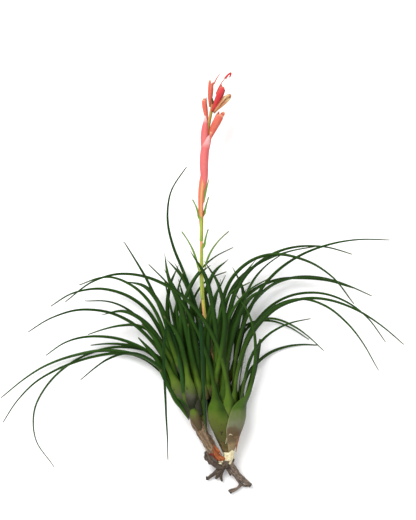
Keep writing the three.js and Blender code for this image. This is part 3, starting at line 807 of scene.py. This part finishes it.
# Short staggered sheaths in front of the offset rosette, with dark scurfy feet, and the broken one that
# clasps the top of its woody stem.
OFFSET_SHEATHS = {
    "outer_sheath": ([(-7, -130, 17), (-13, -118, 21), (-20, -108, 22), (-27, -97, 22), (-34, -84, 22),
                      (-44, -66, 23), (-60, -48, 24)], [1.5, 6.0, 7.2, 4.6, 3.0, 2.7, 0.4], 0.46),
    "upper_sheath": ([(-12, -118, 22), (-17, -108, 27), (-21, -98, 29), (-25, -88, 30), (-32, -72, 32),
                      (-42, -50, 35), (-56, -34, 35)], [3.0, 6.2, 6.8, 4.0, 2.8, 2.6, 0.4], 0.40),
    "middle_sheath": ([(-6, -120, 24), (-7, -110, 29), (-8, -99, 32), (-10, -88, 33), (-13, -70, 36),
                       (-20, -46, 40), (-34, -26, 41)], [4.5, 6.6, 6.4, 3.6, 2.6, 2.5, 0.4], 0.38),
    "side_sheath": ([(-1, -126, 19), (-1, -112, 22), (0, -98, 24), (-3, -80, 27), (-8, -58, 32),
                     (-10, -34, 36)], [3.0, 4.4, 4.6, 3.2, 2.6, 0.4], 0.42),
}
for name, (line, halves, sheath) in OFFSET_SHEATHS.items():
    free_leaf(f"offset_{name}", line, halves, "scurfy_sheath", chance.uniform(0.2, 0.5), bend=1.1,
              sheath=sheath, lift=0.6)
free_leaf("broken_sheath", [(2.0, -141, 20.6), (-1.8, -131, 23.0), (-4.8, -122, 24.2), (-7.6, -112, 24.0)],
          [3.0, 6.4, 5.0, 0.2], "brown_footed", 0.2, bend=1.3, sheath=0.80, lift=0.5)
free_leaf("green_margin",
          [(-9.5, -131, 21), (-15, -121, 26), (-22, -110, 27), (-29, -98, 27), (-38, -80, 27)],
          [0.4, 1.9, 2.4, 2.6, 2.0], "offset_foliage", 0.3)
free_leaf("sheath_rim", [(-21.5, -107, 29.5), (-15, -112.6, 30.6), (-9.4, -119, 29.6)], [0.9, 1.3, 0.3],
          "offset_foliage", 0.5, wall=0.4)

# ---- Flower stem, bracts and florets ------------------------------------------------------------------

STEM_STEPS = 5
STEM_SLENDER = ([-100, 80, 150, 190], [0.80, 0.85, 1.3, 1.5])       # by millimetres up the plant
stem_line, stem_radii = round_rings("flower_stem", STEM_STEPS)
stem_radii = stem_radii * np.interp(stem_line[:, 1], *STEM_SLENDER)
tube("flower_stem_finished", stem_line, stem_radii, "flower_stem", "flower_stem", ridges=0.08)
for node in sorted(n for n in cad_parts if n.startswith("stem_bract")):
    leaf_piece(node, "stem_bract", columns=7, sheath_rings=3, lift=0.1, tuck=0.0, tone=chance.random(),
               waver=0.3, narrow=1.25, hug=0.60, shouldered=False)

stem_ends = stem_line[:, 1]


def on_stem(y, right=0.0, above=0.0):
    """A point beside the flower stem at a distance up the plant, so far to its right and above it, in mm."""
    x = np.interp(y, stem_ends, stem_line[:, 0])
    z = np.interp(y, stem_ends, stem_line[:, 2])
    return (x + right, y, z + above)


# Boat-shaped bracts of the spike: stations of (y, to the right of the stem, above it, half width).
SPIKE_BRACTS = {
    "spike_bract_1": ("salmon_bract", [(62, 0.2, 1.0, 1.7), (78, -0.8, 2.4, 2.2), (94, -0.9, 3.0, 2.9),
                                       (106, 0.0, 3.4, 3.2), (117, 0.9, 3.0, 2.4), (127, 0.6, 2.4, 0.3)]),
    "spike_bract_2": ("spike_bract", [(97, 1.2, 2.0, 1.0), (109, 1.6, 4.0, 3.2), (124, 0.4, 5.0, 4.1),
                                      (137, 0.0, 5.2, 4.1), (146, 0.8, 4.6, 3.4), (152.5, 2.6, 3.6, 0.3)]),
    "spike_bract_3": ("spike_bract", [(138, -1.2, 3.2, 2.4), (149, -2.0, 4.0, 3.5), (157, -2.7, 4.0, 3.4),
                                      (164, -3.3, 3.6, 2.5), (172, -4.6, 3.0, 0.3)]),
}
BOAT_BEND = 1.5
for node, (look, stations) in SPIKE_BRACTS.items():
    line = [on_stem(y, right, above) for y, right, above, half in stations]
    halves = [s[3] * BOAT_BEND for s in stations]
    free_leaf(f"{node}_finished", line, halves, look, 0.3, bend=BOAT_BEND, wall=0.5, lift=0.5)
    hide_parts(node)


PETAL_COLUMNS = 9
PETAL_SHAPE = ([0, 0.3, 0.6, 0.82, 0.94, 1.0], [1.25, 1.3, 1.2, 1.0, 0.7, 0.25])


PETAL_TWIST = 0.5
INNER_PETAL = 0.72       # the innermost petal's radius against the floret's
PETAL_STEP = 0.1
PETAL_SHORTER = 0.06
PETAL_WALL = 0.45
PETAL_SPREAD = 0.25


def floret_piece(node, line, radii, materials, tone, opening):
    """Three overlapping petals rolled into a tube that opens at its tip."""
    line, radii = np.asarray(line), np.asarray(radii)
    rows = len(line)
    share = np.linspace(0, 1, rows)
    ahead = unit(np.gradient(line, axis=0))
    side = unit(np.cross(ahead, np.array([0.0, 0.0, 1.0])))
    up = np.cross(side, ahead)
    for k, material in enumerate(materials):
        turn = 2 * math.pi * k / 3 + tone * 6 + PETAL_TWIST * share
        out = np.cos(turn)[:, None] * up + np.sin(turn)[:, None] * side
        radius = radii * (INNER_PETAL + PETAL_STEP * k) + opening * share**4
        half = np.interp(share, *PETAL_SHAPE)
        stretch = 1 - PETAL_SHORTER * k
        spine = line[0] + (line - line[0]) * stretch + out * radius[:, None]
        sheet = (spine, np.cross(ahead, out), out, radius, half, np.full(rows, PETAL_WALL))
        sheet_piece(f"{node}_petal_{k + 1}", sheet, PETAL_COLUMNS, np.ones(rows), share, tone, material,
                    node if k == 0 else None, PETAL_SPREAD, PETAL_SPREAD)


# Florets: width and length against the node, and the three petals' finishes.
FLORET_LOOKS = {
    "floret_1": (1.35, 1.25, ["floret"] * 3, 0.5),
    "floret_2": (1.22, 1.0, ["floret"] * 3, 0.9),
    "floret_3": (0.90, 1.08, ["floret", "cream_floret", "cream_floret"], 1.3),
    "floret_4": (1.30, 1.06, ["red_floret"] * 3, 0.5),
    "floret_5": (1.35, 1.0, ["floret", "floret", "cream_floret"], 0.6),
}
FLORET_DROP = {"floret_1": 4.5}
FLORET_THINNEST = 1.3
for number, (node, (fat, long, finishes, opening)) in enumerate(FLORET_LOOKS.items()):
    centre, sizes = round_rings(node, STEM_STEPS)
    centre, sizes = centre[:-1], np.maximum(sizes[:-1] * fat, FLORET_THINNEST)
    centre = centre - (0, FLORET_DROP.get(node, 0), 0)
    line = centre[0] + (centre - centre[0]) * long
    floret_piece(node, line, sizes, finishes, 0.15 + 0.17 * number, opening)

THREADS = {
    "long_thread": ([(17.5, 193, 40), (20, 199, 41.2), (23.5, 205, 42.4), (28, 210.6, 43.4)], 0.8, "floret"),
    "thread_end": ([(26.4, 208.4, 43.2), (29.4, 212.0, 43.8), (32.4, 214.4, 43.8)], 1.3, "red_floret"),
    "thread_hook": ([(32.0, 214.0, 43.7), (31.6, 211.2, 43.2), (30.4, 209.4, 42.8)], 1.1, "red_floret"),
    "short_thread": ([(15.2, 203, 40.6), (18.0, 208.4, 42), (21.4, 213.6, 42.6)], 0.8, "floret"),
    "open_filament": ([(15.5, 176, 39), (20.5, 183, 40.6), (25.6, 187.6, 41.4)], 0.9, "floret"),
    "rachis_tip": ([on_stem(184), (11.6, 194, 38.6), (12.8, 204, 39.4)], 1.9, "flower_stem"),
}
for name, (line, radius, look) in THREADS.items():
    path = curve_through(line, SPAN_STEPS)
    tube(name, path, radius * (1 - 0.5 * np.linspace(0, 1, len(path))), look, columns=8)
free_leaf("lower_strip", [on_stem(134, 3.4, 2.4), on_stem(146, 3.4, 3.0), on_stem(156, 3.6, 3.4)],
          [0.4, 1.5, 1.2], "floret", 0.4, wall=0.4)
free_leaf("green_bractlet", [on_stem(86, 2.0, 1.5), on_stem(98, 3.4, 2.0), on_stem(111, 6.4, 2.0)],
          [0.5, 1.1, 0.2], "stem_bract", 0.6, wall=0.4)
free_leaf("open_petal", [(15.5, 176, 40), (20.5, 184, 42.4), (25.5, 189.5, 43.0), (30, 192.6, 42.4)],
          [1.2, 2.0, 1.7, 0.3], "cream_floret", 0.8, wall=0.4)

# ---- Woody crown and roots ----------------------------------------------------------------------------

# Each woody piece: points of (x, y, z, radius) in mm, its finish, ridges, knots and the node it stands for.
WOODY = {
    "pale_stem": ([(28.6, -174, 13, 4.8), (29.8, -169, 14.2, 5.2), (30.4, -163, 15, 5.7),
                   (30.2, -159, 16, 5.4), (29.5, -148, 17, 4.4)], "pale_stem", 0.10, 0.10, "main_stem"),
    "rootstock": ([(7.6, -163, 14.5, 2.2), (11, -167, 13.5, 4.6), (17, -173.5, 12.4, 4.9),
                   (24, -177, 11.6, 4.6), (29, -177.5, 11, 3.6)], "dark_bark", 0.42, 0.55, "rootstock"),
    "offset_stem": ([(-7.5, -121, 14.5, 4.8), (-2.5, -132, 14.6, 5.6), (4, -144, 14.4, 5.5),
                     (10.5, -156, 14.6, 5.2), (15.4, -165, 14.2, 4.4), (18, -170, 13, 3.2)],
                    "bark", 0.30, 0.16, "offset_stem"),
    "root_collar": ([(27.4, -170.5, 13, 6.6), (27.0, -174.5, 12, 6.9), (26.4, -178, 11, 5.4)],
                    "dark_bark", 0.45, 0.5, "root_collar"),
    "knot": ([(18, -171, 13, 2.6), (22, -172.5, 14.4, 4.0), (28, -173, 15, 3.4)],
             "pale_stem", 0.5, 0.6, None),
    "root_long": ([(28.6, -174, 11.4, 4.6), (34, -181, 9, 4.3), (40, -188, 6.8, 3.4),
                   (46.5, -193.5, 4.8, 2.4), (52.6, -198.5, 3.4, 2.0)], "root", 0.42, 0.22, "root_long"),
    "root_strand": ([(33, -180, 8.6, 2.4), (37, -187.6, 6.2, 2.0), (41, -194.6, 3.8, 1.5),
                     (46, -198.6, 2.8, 1.2), (51.5, -198.6, 2.9, 1.1)], "root", 0.4, 0.35, None),
    "root_side": ([(40.5, -193.6, 3.9, 1.3), (42, -198, 2.9, 1.5), (38, -202, 2.4, 1.5), (33, -204, 2.2, 1.9),
                   (31.2, -205.4, 2.2, 2.2)], "root", 0.4, 0.3, "root_side"),
    "root_short": ([(27, -176, 10.4, 3.4), (22, -181, 8.4, 2.9), (16, -186, 5.6, 2.1), (10, -190.6, 3.2, 1.5),
                    (7.8, -191, 2.6, 1.9)], "dark_bark", 0.4, 0.35, "root_short"),
    "root_fork_1": ([(23, -180, 7.4, 2.0), (20.5, -187, 5.0, 1.7), (17.4, -191.5, 3.4, 1.0)],
                    "dark_bark", 0.4, 0.4, None),
    "root_fork_2": ([(24.5, -180, 7, 1.9), (22.6, -187.5, 4.6, 1.5), (23.4, -194, 2.8, 1.0)],
                    "dark_bark", 0.4, 0.4, None),
    "root_stub": ([(29, -180, 8, 1.6), (31, -184, 6.8, 1.3), (32.4, -188, 5.6, 0.9)],
                  "dark_bark", 0.4, 0.4, None),
}
for number, (name, (line, finish, ridges, knots, node)) in enumerate(WOODY.items()):
    fine = curve_through(line, SPAN_STEPS)
    tube(f"{name}_wood" if node else name, fine[:, :3], fine[:, 3], finish, node, columns=32, ridges=ridges,
         knots=knots, tone=0.07 * number)

# The torn sheath at the foot of the woody stem: a few folded papery shards.
SHARDS = [
    ([(15.4, -158, 20.6), (17.0, -163, 21.6), (22.4, -169, 20.2), (28.2, -169.6, 18.4)],
     [0.5, 2.4, 3.4, 0.4], 0.5),
    ([(14.2, -155, 20.4), (18.6, -160.4, 22.6), (23.4, -165.6, 21.6)], [0.3, 1.8, 0.4], -0.4),
    ([(9.6, -166, 17.4), (15.2, -165.4, 20.8), (20.0, -169.4, 20.0), (24.8, -172.6, 18.0)],
     [0.4, 2.6, 2.8, 0.4], 0.2),
]
for number, (line, halves, lean) in enumerate(SHARDS):
    look = "dark_sheath" if number == 2 else "dry_sheath"
    shard = free_leaf(f"torn_shard_{number + 1}", line, halves, look, 0.2 + 0.3 * number, bend=0.9,
                      lean=lean, wall=0.6)
    if number == 0:
        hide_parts("torn_sheath")
free_leaf("curled_fibre", [(27.2, -154, 26), (28.4, -147.6, 29), (31.4, -144.2, 31), (34.2, -145.4, 30)],
          [0.3, 0.6, 0.7, 0.2], "pale_stem", 0.3, bend=1.0, wall=0.3)
free_leaf("red_strip", [(37.6, -163, 20), (38.8, -155, 22.5), (41.4, -146, 24)], [0.4, 0.9, 0.2],
          "dry_sheath", 0.6, lean=0.7, wall=0.3)

# ---- Fibres -------------------------------------------------------------------------------------------


FIBRE_INPUTS = {"Surface": "Geometry", "Density": "Float", "Length": "Float", "Radius": "Float",
                "Along": "Vector", "Spread": "Float", "Seed": "Int", "Finish": "Material"}
FIBRE_SIDES = 5
FIBRE_BENDS = 5
FIBRE_BOW = (("Start", -1.0, 0.0), ("Middle", 0.0, 0.35), ("End", 1.0, 0.12))     # along and above, by length
FIBRE_SCALES = (0.5, 1.3)
FIBRE_RADIUS = 0.16 * MM


def make_fibres_tree():
    """Short shreds that lie along a surface in a given direction, each a little lifted and turned."""
    tree = bpy.data.node_groups.new("fibres", "GeometryNodeTree")
    sockets = {}
    for name, kind in FIBRE_INPUTS.items():
        made = tree.interface.new_socket(name=name, in_out="INPUT", socket_type=f"NodeSocket{kind}")
        sockets[name] = made.identifier
    tree.interface.new_socket(name="Fibres", in_out="OUTPUT", socket_type="NodeSocketGeometry")
    g = Graph(tree)
    given = g.add("NodeGroupInput").outputs
    spots = g.add("GeometryNodeDistributePointsOnFaces")
    g.feed(spots.inputs["Mesh"], given["Surface"])
    g.feed(spots.inputs["Density"], given["Density"])
    g.feed(spots.inputs["Seed"], given["Seed"])
    bow = g.add("GeometryNodeCurveQuadraticBezier")
    bow.inputs["Resolution"].default_value = FIBRE_BENDS
    half = g.math("MULTIPLY", given["Length"], 0.5)
    for socket, factor, height in FIBRE_BOW:
        place = g.add("ShaderNodeCombineXYZ")
        g.feed(place.inputs[0], g.math("MULTIPLY", half, factor))
        g.feed(place.inputs[2], g.math("MULTIPLY", given["Length"], height * 0.5))
        g.feed(bow.inputs[socket], place.outputs[0])
    profile = g.add("GeometryNodeCurvePrimitiveCircle")
    profile.inputs["Resolution"].default_value = FIBRE_SIDES
    g.feed(profile.inputs["Radius"], given["Radius"])
    strand = g.add("GeometryNodeCurveToMesh")
    g.feed(strand.inputs["Curve"], bow.outputs["Curve"])
    g.feed(strand.inputs["Profile Curve"], profile.outputs["Curve"])
    strand.inputs["Fill Caps"].default_value = True
    align = g.add("FunctionNodeAlignRotationToVector", axis="X", pivot_axis="Z")
    g.feed(align.inputs["Rotation"], spots.outputs["Rotation"])
    g.feed(align.inputs["Vector"], given["Along"])
    turn = g.add("FunctionNodeRandomValue", data_type="FLOAT")
    g.feed(turn.inputs[2], g.math("MULTIPLY", given["Spread"], -1.0))
    g.feed(turn.inputs[3], given["Spread"])
    g.feed(turn.inputs["Seed"], given["Seed"])
    spin = g.add("ShaderNodeCombineXYZ")
    g.feed(spin.inputs[2], turn.outputs[1])
    turned = g.add("FunctionNodeRotateRotation", rotation_space="LOCAL")
    g.feed(turned.inputs[0], align.outputs[0])
    g.feed(turned.inputs[1], spin.outputs[0])
    size = g.add("FunctionNodeRandomValue", data_type="FLOAT")
    size.inputs[2].default_value, size.inputs[3].default_value = FIBRE_SCALES
    laid = g.add("GeometryNodeInstanceOnPoints")
    g.feed(laid.inputs["Points"], spots.outputs["Points"])
    g.feed(laid.inputs["Instance"], strand.outputs["Mesh"])
    g.feed(laid.inputs["Rotation"], turned.outputs[0])
    g.feed(laid.inputs["Scale"], size.outputs[1])
    real = g.add("GeometryNodeRealizeInstances")
    g.feed(real.inputs[0], laid.outputs[0])
    finish = g.add("GeometryNodeSetMaterial")
    g.feed(finish.inputs["Geometry"], real.outputs[0])
    g.feed(finish.inputs["Material"], given["Finish"])
    g.feed(g.add("NodeGroupOutput").inputs[0], finish.outputs[0])
    return tree, sockets


FIBRES, FIBRE_SOCKETS = make_fibres_tree()


def fibres_on(host, along, density, length, spread, seed, material):
    """A plain mesh of fibres over a finished piece; density is per square metre, sizes in metres."""
    carrier = bpy.data.objects.new(f"{host}_carrier", bpy.data.objects[host].data.copy())
    bpy.context.scene.collection.objects.link(carrier)
    modifier = carrier.modifiers.new("fibres", "NODES")
    modifier.node_group = FIBRES
    for name, value in (("Density", density), ("Length", length), ("Radius", FIBRE_RADIUS), ("Along", along),
                        ("Spread", spread), ("Seed", seed), ("Finish", MATERIALS[material])):
        modifier[FIBRE_SOCKETS[name]] = value
    bpy.context.view_layer.update()
    mesh = bpy.data.meshes.new_from_object(carrier.evaluated_get(bpy.context.evaluated_depsgraph_get()))
    bpy.data.objects.remove(carrier)
    made = bpy.data.objects.new(f"{host}_fibres", mesh)
    bpy.context.scene.collection.objects.link(made)
    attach(made, ROOT)


FIBRE_DENSITY = 60000.0
for seed, (host, along, share, length, spread, material) in enumerate((
    ("offset_stem_wood", (0.45, -0.89, 0.0), 1.0, 5.5, 0.45, "fibre"),
    ("rootstock_wood", (0.7, -0.6, 0.0), 1.3, 3.6, 0.8, "dark_bark"),
    ("root_collar_wood", (1.0, 0.1, 0.0), 1.4, 3.0, 0.5, "dark_bark"),
    ("root_long_wood", (0.7, -0.7, 0.0), 0.7, 4.5, 0.35, "fibre"),
    ("root_short_wood", (-0.7, -0.6, 0.0), 0.6, 3.0, 0.5, "root"),
), 1):
    fibres_on(host, along, FIBRE_DENSITY * share, length * MM, spread, seed, material)
